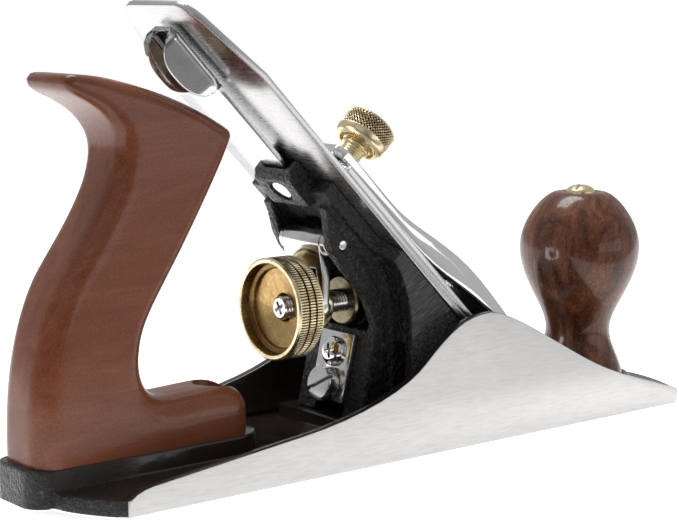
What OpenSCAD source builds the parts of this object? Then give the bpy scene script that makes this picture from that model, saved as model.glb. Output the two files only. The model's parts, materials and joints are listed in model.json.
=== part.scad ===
// Adjustable metal bench plane, smoothing size.
// +X points to the toe, +Z up, and the origin is the centre of the sole's footprint.
// Two drawing frames are used: the plane's own, and the bed, which slopes at 45 degrees.

/* [Sole and cheeks] */
// Overall length of the sole
sole_l = 248; // [246:0.5:252]
// Overall width of the sole
sole_w = 63.5; // [62.5:0.5:66]
// Thickness of the sole plate
sole_t = 4.6; // [4:0.1:5]
// Thickness of each cheek
cheek_t = 3.2; // [2.5:0.1:3.4]
// Height of the cheeks at their peak
cheek_h = 41; // [38:0.5:44]
// Thickness of the pad under the rear handle, from the sole's face
pad_h = 10.5; // [9.5:0.1:11.5]
// Width of that pad
pad_w = 23.6; // [23:0.1:26]

/* [Bed and frog] */
// X where the bed would meet the sole's face
bed_x = 57.2; // [56.5:0.1:58]
// Width of the frog
frog_w = 50; // [49:0.5:52]
// Length of the frog's bed, up the slope
frog_l = 126; // [124:0.5:128]
// Thickness of the frog's upper bed plate
plate_t = 4.6; // [4.4:0.1:5]
// Height of the seat that the frog stands on
seat_h = 9; // [8.5:0.1:9.5]
// How far the frog moves each way
frog_travel = 1.8; // [1:0.1:1.8]

/* [Cutting iron] */
// Width of the iron
iron_w = 50.8; // [50:0.2:51.6]
// Length of the iron
iron_l = 191.6; // [180:0.2:200]
// Thickness of the iron
iron_t = 2; // [1.9:0.1:2]
// Thickness of the cap iron
cap_t = 2.2; // [2:0.1:2.2]
// Width of the slot in the iron
slot_w = 11.2; // [11.2:0.1:12]

/* [Lever cap] */
// Width of the lever cap at its top
lever_cap_w = 46.2; // [44:0.2:48]
// Distance from the bottom of the bed to the top of the lever cap
lever_cap_top = 126; // [122:0.5:128]
// Diameter of the thumb screw's head
thumb_d = 16.8; // [15:0.2:18]

/* [Depth adjuster] */
// Diameter of the depth wheel
wheel_d = 31; // [28:0.2:31.2]
// Height of the wheel's axis over the sole's face
wheel_z = 44.2; // [44:0.1:44.4]
// Diameter of the threaded stud
stud_d = 7.1; // [6.5:0.1:7.1]

/* [Wooden handles] */
// Thickness of the rear handle
tote_t = 23; // [22:0.5:23.5]
// X of the front knob's axis
knob_x = 98; // [96:0.5:100]
// Largest diameter of the front knob
knob_d = 41; // [39:0.2:43]
// Height of the knob's top over the sole's face
knob_h = 70.8; // [68:0.2:74]

/* [Hidden] */
$fn = 64;

// Small overshoot of a cut through a face
eps = 0.5;
// Radial clearance of a thread or a fixed shank in its hole
snug = 0.03;
// Radial clearance of a pin that turns in its hole
run = 0.06;
root2 = sqrt(2);

// The cheeks end short of the sole's rounded ends
cheek_rear_x = -106.5;
cheek_toe_x = 114.2;
heel_arc_x = -119.5;
heel_bulge = cheek_rear_x - heel_arc_x;
heel_corner_r = 6.5;
toe_bulge = sole_l / 2 - cheek_toe_x;
cheek_peak_x = 25;

// Mouth: the slot that the iron comes down through
mouth_w = 54.6;
mouth_front_x = 63.6;
bed_gap = 1.5;

// Frog seat, its centre rib and the two clamp screws
seat_rear_x = -16;
seat_w = 44;
rib_w = 13;
rib_h = 21;
rib_rear_x = -2;
rib_front_x = 30;
clamp_x = 22;
clamp_y = 15;
clamp_shelf = 18;
clamp_shank_r = 2.95;
washer_r = 5.6;
washer_t = 1.2;

// Clip and frog adjusting screw: both lean with the frog's rear face
clip_top = [-9.5, 34.5];
clip_lean = 13;
clip_t = 1.6;
clip_w = 15.4;
clip_l = 21.4;
clip_screw_down = 6.2;
adjuster_down = 16.6;
adjuster_r = 3;
adjuster_bore_r = 3.55;

// Distances up the bed
lever_screw_s = 56;
cap_screw_s = 76;
yoke_s = 100;
disc_s = 111;
lateral_s = 119;
thumb_s = 107;

// Yoke pivot, as a depth under the bed
yoke_v = -9.6;
yoke_pin_r = 1.5;

// Lateral lever, as heights under the bed
lateral_top = -1.3;
lateral_t = 1.6;
lateral_w = 9;
ear_y = 6.6;

// Depth wheel and collar along the stud, from the wheel's rear face
wheel_x = -36.4;
wheel_l = 12.2;
groove_from = 13.2;
groove_w = 4;
collar_end = 20;
collar_r = 7;
groove_r = 4.9;
stud_from_x = -32.4;
stud_to_x = 5;
boss_x = -4.4;
lock_nut_t = 4.3;

// Handle rods
rod_r = 3;
tote_rod_x = -106;
tote_rod_lean = 19;
tote_nut_from = 93.9;
toe_screw_x = -57;
toe_screw_shelf = 18.5;
knob_base_z = 5.8;
knob_foot_r = 16;

// Cutting edge: how far down the bed from its start the tip reaches
tip_s = -1.6;
bevel_l = 3.8;

// Points of a cubic curve from p0 to p3, without p0
function curve(p0, p1, p2, p3, n = 8) = [for (i = [1:n]) let (t = i / n, u = 1 - t)
    u * u * u * p0 + 3 * u * u * t * p1 + 3 * u * t * t * p2 + t * t * t * p3];

// A point s up the bed and v above it, as [x, z]
function bed(s, v) = [bed_x + (v - s) / root2, (v + s) / root2];

// Moves to the bed: X runs down the slope, Z stands square on it
module on_bed() translate([bed_x, 0, 0]) rotate([0, 45, 0]) children();

// Moves to a place s up the bed
module at_bed(s, v = 0) on_bed() translate([-s, 0, v]) children();

// An outline in [x, z], made w wide about the centre plane
module side_slab(w) rotate([90, 0, 0]) linear_extrude(w, center = true) children();

// An outline in [s, v], made w wide about the centre plane
module bed_slab(w) on_bed() rotate([90, 0, 0])
    linear_extrude(w, center = true) mirror([1, 0]) children();

// An outline in [s, y], from height v0 to v1 over the bed
module bed_plan(v0, v1) on_bed() translate([0, 0, v0])
    linear_extrude(v1 - v0) mirror([1, 0]) children();

// A slot with round ends between two places on the local X axis
module slot_2d(x0, x1, r) {
    translate([x0, 0]) circle(r);
    translate([x1, 0]) circle(r);
    translate([x0, -r]) square([x1 - x0, 2 * r]);
}

// Moves to the clip's top edge, with X pointing forward along the adjusting screw
module on_clip() translate([clip_top.x, 0, clip_top.y]) rotate([0, clip_lean, 0]) children();

// Moves to a screw or hole of the clip, with Z pointing forward
module at_clip(down, x = 0) on_clip() translate([x, 0, -down]) rotate([0, 90, 0]) children();

// Moves to the stud's axis, with Z pointing forward
module on_stud(x) translate([x, 0, wheel_z]) rotate([0, 90, 0]) children();

// Moves to the foot of the rear handle's rod
module on_tote_rod(up = 0) translate([tote_rod_x, 0, pad_h]) rotate([0, tote_rod_lean, 0])
    translate([0, 0, up]) children();

// Screwdriver slot across a head whose top is at the local origin
module driver_slot(d, w = 1.2, depth = 1.4) translate([-d / 2 - eps, -w / 2, -depth])
    cube([d + 2 * eps, w, depth + eps]);

// Cross recess in a head whose top is at the local origin
module cross_recess(d, w = 1.1, depth = 1.5) for (turn = [0, 90])
    rotate(turn) translate([-d / 2, -w / 2, -depth]) cube([d, w, depth + eps]);

// Outline of the sole: straight sides and shallow round ends
module sole_outline() {
    heel_r = (sole_w * sole_w / 4 + heel_bulge * heel_bulge) / (2 * heel_bulge);
    toe_r = (sole_w * sole_w / 4 + toe_bulge * toe_bulge) / (2 * toe_bulge);
    heel_x = heel_r + heel_arc_x;
    toe_x = sole_l / 2 - toe_r;
    intersection() {
        square([sole_l + 10, sole_w], center = true);
        union() {
            translate([heel_x, 0]) circle(heel_r, $fn = 180);
            translate([toe_x, 0]) circle(toe_r, $fn = 180);
            translate([heel_x, -sole_w / 2 - 2]) square([toe_x - heel_x, sole_w + 4]);
        }
    }
}

// Outline of the pad under the rear handle: a blunt heel with round corners, and a round front
module pad_outline() {
    heel_x = -sole_l / 2;
    front_x = -44 - pad_w / 2;
    side_y = pad_w / 2 - heel_corner_r;
    for (side = [-1, 1]) translate([heel_x + heel_corner_r, side * side_y]) circle(heel_corner_r);
    translate([heel_x, -side_y]) square([heel_corner_r + 1, 2 * side_y]);
    translate([heel_x + heel_corner_r, -pad_w / 2]) square([front_x - heel_x - heel_corner_r, pad_w]);
    translate([front_x, 0]) circle(pad_w / 2);
}

// Side outline of a cheek: a low tail, a steep rise to the peak and a long fall to the toe
module cheek_outline() {
    peak = [cheek_peak_x, cheek_h];
    polygon(concat(
        [[cheek_toe_x - 0.3, 1], [cheek_toe_x - 0.3, 5.2]],
        curve([cheek_toe_x - 0.3, 5.2], [100, 9.8], [86, 13.2], [74, 18.6]),
        curve([74, 18.6], [57, 26.2], [34.5, cheek_h], peak, 10),
        curve(peak, [15, cheek_h], [8, 36.5], [-1, 28.5]),
        curve([-1, 28.5], [-8, 21.8], [-26, 15.6], [-48, 13.2]),
        curve([-48, 13.2], [-64, 11.2], [-80, 9.4], [-98.5, 7.5], 4),
        curve([-98.5, 7.5], [-102.5, 7], [cheek_rear_x + 0.3, 5.4], [cheek_rear_x + 0.3, 3.6], 4),
        [[cheek_rear_x + 0.3, 1]]));
}

// Cast body: sole, cheeks, handle pad, knob boss and frog seat
module body_casting() color("#303032") difference() {
    union() {
        linear_extrude(sole_t) sole_outline();
        for (side = [-1, 1]) translate([0, side * (sole_w - cheek_t) / 2, 0])
            side_slab(cheek_t) cheek_outline();
        linear_extrude(pad_h) pad_outline();
        translate([knob_x, 0, 0]) cylinder(r = knob_foot_r + 2, h = 7.8);
        translate([seat_rear_x, -seat_w / 2, 0]) cube([63, seat_w, seat_h]);
        translate([rib_rear_x, -rib_w / 2, 0]) cube([rib_front_x - rib_rear_x, rib_w, rib_h]);
    }
    // Mouth, with its rear edge bevelled along the bed
    mouth_rear_x = bed_x - root2 * bed_gap;
    side_slab(mouth_w) polygon([[mouth_rear_x + 1, -1], [mouth_front_x, -1], [mouth_front_x, 24],
        [mouth_rear_x - 24, 24]]);
    translate([knob_x, 0, knob_base_z]) cylinder(r = knob_foot_r + 0.2, h = 3);
    translate([knob_x, 0, 1.5]) cylinder(r = rod_r + snug, h = 10);
    on_tote_rod(-8) cylinder(r = rod_r + snug, h = 12);
    translate([toe_screw_x, 0, 3]) cylinder(r = 2.5 + snug, h = 10);
    for (side = [-1, 1]) translate([clamp_x, side * clamp_y, 2.4])
        cylinder(r = clamp_shank_r + snug, h = 10);
    at_clip(adjuster_down, 6) cylinder(r = adjuster_bore_r, h = 24);
}

// Side outline of the rear handle
module tote_outline() polygon(concat(
    [[-49.7, pad_h], [-121.6, pad_h]],
    curve([-121.6, pad_h], [-122, 25], [-121, 43], [-113.2, 58.5]),
    curve([-113.2, 58.5], [-109.5, 66], [-97.8, 78], [-94, 92]),
    curve([-94, 92], [-92.4, 98.5], [-95.5, 104.3], [-103.5, 108.6], 6),
    curve([-103.5, 108.6], [-108, 111], [-111, 111.8], [-111, 114], 4),
    curve([-111, 114], [-111, 116.2], [-110, 116.3], [-107.5, 116.3], 4),
    curve([-107.5, 116.3], [-97, 116], [-82, 111.8], [-70, 106.6]),
    curve([-70, 106.6], [-66, 104.8], [-62, 102.7], [-58.2, 100.4], 3),
    curve([-58.2, 100.4], [-55.8, 98.9], [-55.9, 98], [-57.2, 95.5], 4),
    curve([-57.2, 95.5], [-61.5, 86.5], [-71.5, 69.5], [-79.1, 58.2]),
    curve([-79.1, 58.2], [-83, 52], [-88, 45.5], [-88, 38]),
    curve([-88, 38], [-88, 30.5], [-84, 24.8], [-77, 24.6], 6),
    curve([-77, 24.6], [-70, 24.6], [-66, 25.1], [-60, 25.1], 4),
    curve([-60, 25.1], [-53.5, 25.1], [-49.7, 22.5], [-49.7, 17], 6)));

// Rear handle, drilled for its rod and its toe screw
module tote() color("#6b3a22") difference() {
    side_slab(tote_t) tote_outline();
    on_tote_rod(-5) cylinder(r = rod_r + 0.1, h = 120);
    on_tote_rod(tote_nut_from) cylinder(r = 5.7, h = 20);
    translate([toe_screw_x, 0, 0]) cylinder(r = 2.6, h = 40);
    translate([toe_screw_x, 0, toe_screw_shelf]) cylinder(r = 5.8, h = 20);
}

// Threaded rod through the rear handle
module tote_rod() color("silver") on_tote_rod(-7.5) cylinder(r = rod_r, h = 105.5);

// Barrel nut sunk in the rear handle's top
module tote_nut() color("gold") on_tote_rod(tote_nut_from) difference() {
    cylinder(r = 5.5, h = 6.6);
    translate([0, 0, -eps]) cylinder(r = rod_r + snug, h = 5 + eps);
    translate([0, 0, 6.6]) driver_slot(11);
}

// Screw through the rear handle's toe
module tote_toe_screw() color("silver") translate([toe_screw_x, 0, 0]) difference() {
    union() {
        translate([0, 0, 3.2]) cylinder(r = 2.5, h = 18);
        translate([0, 0, toe_screw_shelf]) cylinder(r = 5.3, h = 3.4);
    }
    translate([0, 0, toe_screw_shelf + 3.4]) driver_slot(10.6);
}

// Turned front knob: flared foot, narrow neck and round top
module knob() {
    belly_r = knob_d / 2;
    color("#4a2616") translate([knob_x, 0, 0]) difference() {
        rotate_extrude($fn = 96) polygon(concat(
            [[0, knob_base_z], [knob_foot_r, knob_base_z]],
            curve([knob_foot_r, knob_base_z], [knob_foot_r - 0.4, 12], [11, 17.5], [11, 23.5], 6),
            curve([11, 23.5], [11, 31], [belly_r, 40], [belly_r, 52]),
            curve([belly_r, 52], [belly_r, 61], [12, knob_h], [8, knob_h]),
            [[0, knob_h]]));
        translate([0, 0, -1]) cylinder(r = rod_r + 0.1, h = knob_h + 5);
        translate([0, 0, knob_h - 9.5]) cylinder(r = 4.4, h = 12);
        translate([0, 0, knob_h - 1.2]) cylinder(r = 5.2, h = 3);
    }
}

// Threaded rod through the front knob
module knob_rod() color("silver") translate([knob_x, 0, 1.7]) cylinder(r = rod_r, h = knob_h - 5);

// Domed nut on top of the front knob
module knob_nut() color("gold") translate([knob_x, 0, knob_h - 1.2]) difference() {
    rotate_extrude() polygon(concat(
        [[0, -8], [4.2, -8], [4.2, 0], [5, 0], [5, 1.4]],
        curve([5, 1.4], [4.5, 2.8], [2.4, 3.6], [0, 3.7], 6)));
    translate([0, 0, -8 - eps]) cylinder(r = rod_r + snug, h = 6.5);
    translate([0, 0, 3.7]) driver_slot(12, 1.2, 1.6);
}

// Side outline of the frog's full width: thin plate above, thick block below
module frog_flange_outline() polygon(concat(
    [bed(seat_h * root2, 0), [-1.3, seat_h], [-1.3, 38]],
    curve([-1.3, 38], [-1.3, 46], [-5.2, 55.9], bed(88, -plate_t)),
    [bed(118, -plate_t), bed(118, 0)]));

// Side outline of the two ribs behind the plate, down to the frog's foot
module frog_rib_outline(depth) polygon(concat(
    [bed(112.6, -1), bed(112.6, -6.5)],
    curve(bed(112.6, -6.5), bed(108, -7.5), bed(106, 1.4 - depth), bed(99, -depth)),
    curve(bed(99, -depth), bed(92, -depth - 1.1), bed(84, -12.6), [-7, 38], 8),
    [[-13.7, seat_h], [4, seat_h], bed(88, -1)]));

// Outline of the frog's plate in [s, y]: full width below, a narrow neck up to the lug
module frog_plate_outline() {
    half = frog_w / 2;
    neck = 18;
    polygon([[-60, -half], [88, -half], [93, -neck], [118, -neck], [118, neck], [93, neck], [88, half],
        [-60, half]]);
}

// Frog: cast wedge that carries the iron
module frog() color("#28282a") difference() {
    union() {
        intersection() {
            side_slab(frog_w + 2) frog_flange_outline();
            bed_plan(-90, 10) frog_plate_outline();
        }
        // Top lug under the lateral lever
        bed_slab(18) polygon([[112, -1], [112.8, -7], [frog_l - 2, -6.6], [frog_l, -4.5], [frog_l, 0],
            [112, 0]]);
        for (side = [-1, 1]) translate([0, side * 13.5, 0])
            side_slab(4) frog_rib_outline(side < 0 ? 13.9 : 12.2);
        // Solid foot between the ribs, and the boss for the stud
        intersection() {
            side_slab(30) frog_rib_outline(13.9);
            translate([-20, -20, 0]) cube([40, 40, 36]);
        }
        on_stud(boss_x) cylinder(r = 9, h = 8);
    }
    // Groove over the seat's centre rib
    translate([rib_rear_x - 14, -rib_w / 2 - 0.2, -1])
        cube([rib_front_x - rib_rear_x + 16.5, rib_w + 0.4, rib_h + 1.3]);
    at_clip(adjuster_down, 1) cylinder(r = 5.8, h = 12);
    at_clip(clip_screw_down, 0) cylinder(r = 2 + snug, h = 8);
    on_stud(boss_x - 1) cylinder(r = stud_d / 2 + snug, h = stud_to_x - boss_x + 1.5);
    // Clamp screw pockets, entered from the bed
    reach = frog_travel + 0.1;
    for (side = [-1, 1]) translate([clamp_x, side * clamp_y, 0]) {
        translate([0, 0, clamp_shelf]) linear_extrude(40) slot_2d(-reach, reach, washer_r + 0.4);
        linear_extrude(clamp_shelf + 1) slot_2d(-reach, reach, clamp_shank_r + 0.4);
    }
    // Dark pockets at the rear, between the foot and the side walls
    for (side = [-1, 1]) translate([-3, side * 18.9 - 2.6, 13]) cube([10, 5.2, 20]);
    // Pivot of the yoke and the window for its finger
    at_bed(yoke_s, yoke_v) rotate([90, 0, 0]) cylinder(r = yoke_pin_r + snug, h = 60, center = true);
    bed_plan(-12, 1) translate([yoke_s - 3.4, -4.1]) square([8.4, 8.2]);
    // Hollow for the cap iron screw's head
    bed_plan(-3.3, 1) slot_2d(cap_screw_s - 1.2, cap_screw_s + 3.2, 7.1);
    at_bed(lever_screw_s, -9.5) cylinder(r = 3 + snug, h = 12);
    // Channel for the lateral lever, its disc and its rivet
    bed_plan(lateral_top - lateral_t - 0.2, 1) {
        translate([disc_s, 0]) circle(6.6);
        translate([lateral_s, 0]) circle(7);
        translate([disc_s, -5.9]) square([frog_l - disc_s + 1, 11.8]);
    }
    at_bed(lateral_s, -8) cylinder(r = 2.5 + snug, h = 10);
    at_bed(lateral_s, -8) cylinder(r = 3.9, h = 2.6);
}

// Two screws that clamp the frog to its seat
module frog_screws() color("silver") for (side = [-1, 1]) translate([clamp_x, side * clamp_y, 0]) {
    head_z = clamp_shelf + washer_t + 0.04;
    difference() {
        union() {
            translate([0, 0, 2.6]) cylinder(r = clamp_shank_r, h = head_z - 2);
            translate([0, 0, head_z]) cylinder(r = 5, h = 3.4);
        }
        translate([0, 0, head_z + 3.4]) driver_slot(10);
    }
}

// Two washers under those screws
module frog_washers() color("silver") for (side = [-1, 1])
    translate([clamp_x, side * clamp_y, clamp_shelf + 0.02]) difference() {
        cylinder(r = washer_r, h = washer_t);
        translate([0, 0, -eps]) cylinder(r = clamp_shank_r + 0.15, h = washer_t + 2 * eps);
    }

// Slotted screw that draws the frog along: head, neck for the clip, shoulder and thread
module frog_adjusting_screw() color("silver") at_clip(adjuster_down) difference() {
    rotate_extrude() polygon([[0, -4.3], [5, -4.3], [5.4, -3.9], [5.4, -0.1], [adjuster_r, -0.1],
        [adjuster_r, clip_t + 0.1], [4.6, clip_t + 0.1], [4.6, clip_t + 1.4], [adjuster_r, clip_t + 1.4],
        [adjuster_r, 28], [0, 28]]);
    translate([0, 0, -4.3]) mirror([0, 0, 1]) rotate(-60) driver_slot(11);
}

// Steel clip: a plate with a fork that sits in the screw's neck
module frog_clip() color("silver") on_clip() difference() {
    translate([0, -clip_w / 2, -clip_l]) cube([clip_t, clip_w, clip_l]);
    translate([-1, 0, -adjuster_down]) rotate([0, 90, 0]) cylinder(r = adjuster_r + run, h = 4);
    translate([-1, -adjuster_r - run, -clip_l - 1])
        cube([4, 2 * (adjuster_r + run), clip_l - adjuster_down + 1]);
    translate([-1, 0, -clip_screw_down]) rotate([0, 90, 0]) cylinder(r = 2.2, h = 4);
}

// Cross-head screw that holds the clip
module frog_clip_screw() color("silver") at_clip(clip_screw_down) difference() {
    rotate_extrude() polygon(concat(
        [[0, 7.5], [2, 7.5], [2, 0], [4.7, 0]],
        curve([4.7, 0], [4.7, -1.6], [3, -2.6], [0, -2.6], 6)));
    translate([0, 0, -2.6]) mirror([0, 0, 1]) rotate(20) cross_recess(5.4, 1.2, 1.6);
}

// Threaded stud that the depth wheel turns on
module adjusting_stud() color("silver") on_stud(stud_from_x) difference() {
    cylinder(d = stud_d, h = stud_to_x - stud_from_x);
    mirror([0, 0, 1]) rotate(30) cross_recess(4.6);
}

// Round nut that locks the stud against the frog
module stud_lock_nut() color("gold") on_stud(boss_x - 0.05 - lock_nut_t) rotate_extrude() {
    polygon([[stud_d / 2 + snug, 0], [7.2, 0], [7.9, 0.7], [7.9, lock_nut_t],
        [stud_d / 2 + snug, lock_nut_t]]);
}

// Depth wheel: knurled rim, dished rear face and coned front
module depth_wheel() {
    rim = wheel_d / 2;
    bore = stud_d / 2 + run;
    color("gold") on_stud(wheel_x) difference() {
        rotate_extrude($fn = 96) polygon([[bore, 9.2], [4.3, 9], [4.3, 5.9], [12.2, 4.9], [12.2, 3.4],
            [13.6, 3.1], [13.9, 0], [rim - 0.3, 0], [rim, 0.4], [rim, 9], [rim - 1.3, 9.6],
            [8.4, wheel_l], [bore, wheel_l]]);
        // Two grooves part the rim into three bands
        for (x = [3.7, 6.3]) translate([0, 0, x]) difference() {
            cylinder(r = rim + 1, h = 0.5);
            cylinder(r = rim - 0.5, h = 0.5);
        }
    }
}

// Grooved collar of the depth wheel: the yoke's fork rides in its groove
module depth_wheel_collar() {
    bore = stud_d / 2 + run;
    groove_to = groove_from + groove_w;
    color("gold") on_stud(wheel_x) rotate_extrude() polygon([[bore, wheel_l + 0.1],
        [collar_r, wheel_l + 0.1], [collar_r, groove_from], [groove_r, groove_from], [groove_r, groove_to],
        [collar_r, groove_to], [collar_r, collar_end - 0.6], [collar_r - 0.6, collar_end],
        [bore, collar_end]]);
}

// Outline of one leg of the yoke in [x, z], with a round end in the collar's groove
module yoke_leg_outline() {
    pivot = bed(yoke_s, yoke_v);
    foot = [wheel_x + groove_from + groove_w / 2, wheel_z];
    translate(pivot) circle(4.2);
    translate(foot) circle(1.9);
    polygon([pivot + [-3.9, -1.5], pivot + [3.9, -1.5], [foot.x + 1.6, foot.y + 9], foot + [1.15, 0.5],
        foot + [-1.15, 0.5], [foot.x - 1.4, foot.y + 9]]);
}

// Yoke: forked lever that turns the collar's travel into the iron's
module yoke() color("gainsboro") difference() {
    union() {
        // Two legs under a bridge, and the barrel on the pin
        difference() {
            side_slab(17.6) yoke_leg_outline();
            translate([-40, -5.8, 0]) cube([40, 11.6, 56]);
        }
        at_bed(yoke_s, yoke_v) rotate([90, 0, 0]) cylinder(r = 3.8, h = 22, center = true);
        // Finger up through the bed, with a round tip cut flat under the lever cap
        bed_slab(6.8) {
            translate([yoke_s - 1.7, yoke_v]) square([3.4, 12.5]);
            intersection() {
                translate([yoke_s, 3.1]) circle(2.4);
                translate([yoke_s - 4, 0]) square([8, 4.1]);
            }
        }
    }
    at_bed(yoke_s, yoke_v) rotate([90, 0, 0])
        cylinder(r = yoke_pin_r + run, h = 40, center = true);
}

// Pivot pin of the yoke
module yoke_pin() color("silver") at_bed(yoke_s, yoke_v) rotate([90, 0, 0])
    cylinder(r = yoke_pin_r, h = 31.2, center = true);

// Lateral lever: flat strip with a folded thumb tab of two round ears
module lateral_lever() color("gainsboro") {
    low = lateral_top - lateral_t;
    difference() {
        bed_plan(low, lateral_top) {
            translate([disc_s, 0]) circle(5.6);
            translate([lateral_s, 0]) circle(6.2);
            translate([disc_s, -lateral_w / 2]) square([50, lateral_w]);
            polygon([[157, -lateral_w / 2], [163, -ear_y - 0.9], [181.5, -ear_y - 0.9], [183, -ear_y + 1],
                [183, ear_y - 1], [181.5, ear_y + 0.9], [163, ear_y + 0.9], [157, lateral_w / 2]]);
        }
        at_bed(lateral_s, low - 1) cylinder(r = 2.5 + run, h = 4);
        at_bed(disc_s, low - 1) cylinder(r = 1.5 + snug, h = 4);
    }
    for (side = [-1, 1]) translate([0, side * ear_y, 0]) bed_slab(1.6) polygon(concat(
        [[160.5, low + 0.4], [182, low + 0.4], [182, low]],
        curve([182, low], [180, -6.6], [175.5, -9.6], [170, -9.6]),
        curve([170, -9.6], [165, -9.6], [162.5, -6.4], [160.5, low])));
}

// Rivet that the lateral lever turns on
module lateral_lever_rivet() color("silver") at_bed(lateral_s) {
    translate([0, 0, -6.2]) cylinder(r = 3.3, h = 0.8);
    translate([0, 0, -6]) cylinder(r = 2.5, h = lateral_top + 6);
}

// Disc on the lever's lower end: it pushes the iron's slot sideways
module lateral_disc() color("silver") at_bed(disc_s) {
    translate([0, 0, lateral_top + 0.05]) cylinder(r = slot_w / 2 - 0.1, h = 2.9);
    translate([0, 0, lateral_top - lateral_t]) cylinder(r = 1.5, h = 3);
}

// Cutting iron: clipped top corners, a bevelled edge and a keyhole slot
module iron() color("gainsboro") difference() {
    half = iron_w / 2;
    top = tip_s + iron_l;
    intersection() {
        bed_plan(-1, iron_t + 1) polygon(concat(
            [[tip_s - 1, -half], [top - 28, -half], [top - 6, -18]],
            curve([top - 6, -18], [top - 2.5, -16.5], [top, -14], [top, -11], 4),
            [[top, 11]],
            curve([top, 11], [top, 14], [top - 2.5, 16.5], [top - 6, 18], 4),
            [[top - 28, half], [tip_s - 1, half]]));
        bed_slab(iron_w + 2) polygon([[tip_s, iron_t], [tip_s + bevel_l, 0], [top + 1, 0],
            [top + 1, iron_t]]);
    }
    bed_plan(-1, iron_t + 1) {
        slot_2d(46, 114, slot_w / 2);
        translate([46, 0]) circle(7.4);
    }
}

// Side outline of the cap iron in [s, v]: flat plate with a hump behind its edge
module cap_iron_outline() {
    low = iron_t;
    high = iron_t + cap_t;
    polygon(concat(
        [[121, low], [121, high], [29, high]],
        curve([29, high], [24, high], [21, 7.4], [14.5, 7.4], 6),
        curve([14.5, 7.4], [8, 7.4], [4, 5], [0.2, low + 0.1], 6),
        [[0.2, low], [1, low]],
        curve([1, low], [5, 4], [9, 5.2], [14, 5.2], 6),
        curve([14, 5.2], [19.5, 5.2], [22, low], [28, low], 6)));
}

// Cap iron, which stiffens the iron and takes the yoke's finger
module cap_iron() color("gainsboro") difference() {
    bed_slab(iron_w - 0.2) cap_iron_outline();
    at_bed(cap_screw_s) cylinder(r = 4 + run, h = 10);
    bed_plan(0, 10) {
        slot_2d(53.5, 56.5, 4);
        translate([yoke_s - 2.5, -4.1]) square([5, 8.2]);
    }
}

// Screw that joins the iron and the cap iron, and on which both swing sideways
module cap_iron_screw() color("silver") at_bed(cap_screw_s) difference() {
    union() {
        translate([0, 0, -2.9]) cylinder(r = 6.5, h = 2.85);
        translate([0, 0, -1]) cylinder(r = 4, h = iron_t + cap_t + 0.9);
    }
    translate([0, 0, -2.9]) mirror([0, 0, 1]) driver_slot(13);
}

// Side outline of the lever cap in [s, v]: flat top end, a raised back and a lip at the bottom
module lever_cap_outline() {
    low = iron_t + cap_t + 0.2;
    polygon(concat(
        [[lever_cap_top, low], [lever_cap_top, 7.8], [99, 7.8]],
        curve([99, 7.8], [86, 8.4], [74, 14.4], [57, 14.5]),
        curve([57, 14.5], [38, 14.5], [20, 13.4], [9.6, 8.4]),
        [[9.2, 7.7], [14, 7.65]],
        curve([14, 7.65], [24, 8.2], [32, 10.4], [42, 10.2], 6),
        curve([42, 10.2], [58, 9.8], [70, low], [86, low])));
}

// Lever cap: clamp plate with a keyhole and a boss for the thumb screw
module lever_cap() color("white") difference() {
    half = lever_cap_w / 2;
    union() {
        intersection() {
            bed_slab(iron_w) lever_cap_outline();
            bed_plan(0, 20) polygon([[9, -22], [14, -24.6], [80, -24.6], [lever_cap_top - 2.5, -half],
                [lever_cap_top, 2.5 - half], [lever_cap_top, half - 2.5], [lever_cap_top - 2.5, half],
                [80, 24.6], [14, 24.6], [9, 22]]);
        }
        at_bed(thumb_s, 6) cylinder(r = 7.5, h = 6);
    }
    at_bed(thumb_s) cylinder(r = 3.9 + run, h = 20);
    bed_plan(0, 20) {
        slot_2d(lever_screw_s - 10, lever_screw_s, 3.2);
        translate([lever_screw_s - 10, 0]) circle(6);
    }
    bed_plan(11.7, 20) slot_2d(lever_screw_s - 10, lever_screw_s, 6.2);
}

// Screw in the frog that the lever cap hooks on
module lever_cap_screw() color("silver") at_bed(lever_screw_s) difference() {
    union() {
        translate([0, 0, -9.3]) cylinder(r = 3, h = 22);
        translate([0, 0, 11.75]) cylinder(r = 5.6, h = 3.4);
    }
    translate([0, 0, 15.15]) driver_slot(12);
}

// Knurled thumb screw that presses on the cap iron
module thumb_screw() {
    head_r = thumb_d / 2;
    color("gold") at_bed(thumb_s) rotate_extrude() polygon([[0, 4.25], [3.4, 4.25], [3.9, 4.8],
        [3.9, 21.4], [4.7, 21.4], [4.7, 23.2], [head_r - 1, 23.2], [head_r, 24.6], [head_r, 30.8],
        [head_r - 0.8, 31.6], [0, 31.6]]);
}

body_casting();
tote();
tote_rod();
tote_nut();
tote_toe_screw();
knob();
knob_rod();
knob_nut();
frog();
frog_screws();
frog_washers();
frog_adjusting_screw();
frog_clip();
frog_clip_screw();
adjusting_stud();
stud_lock_nut();
depth_wheel();
depth_wheel_collar();
yoke();
yoke_pin();
lateral_lever();
lateral_lever_rivet();
lateral_disc();
iron();
cap_iron();
cap_iron_screw();
lever_cap();
lever_cap_screw();
thumb_screw();
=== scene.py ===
"""Visual model of an adjustable bench plane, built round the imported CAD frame.

Pieces are drawn in millimetres, in the drawing frame of the plane, the bed, the stud, the clip or
the rod, and scaled to metres as they are made. Each stands for a CAD node and rides on its body.
"""

import bmesh
import bpy
import json
import numpy as np
from math import cos, degrees, pi, radians, sin, sqrt
from mathutils import Matrix, Vector, noise
from mathutils.geometry import delaunay_2d_cdt


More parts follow.
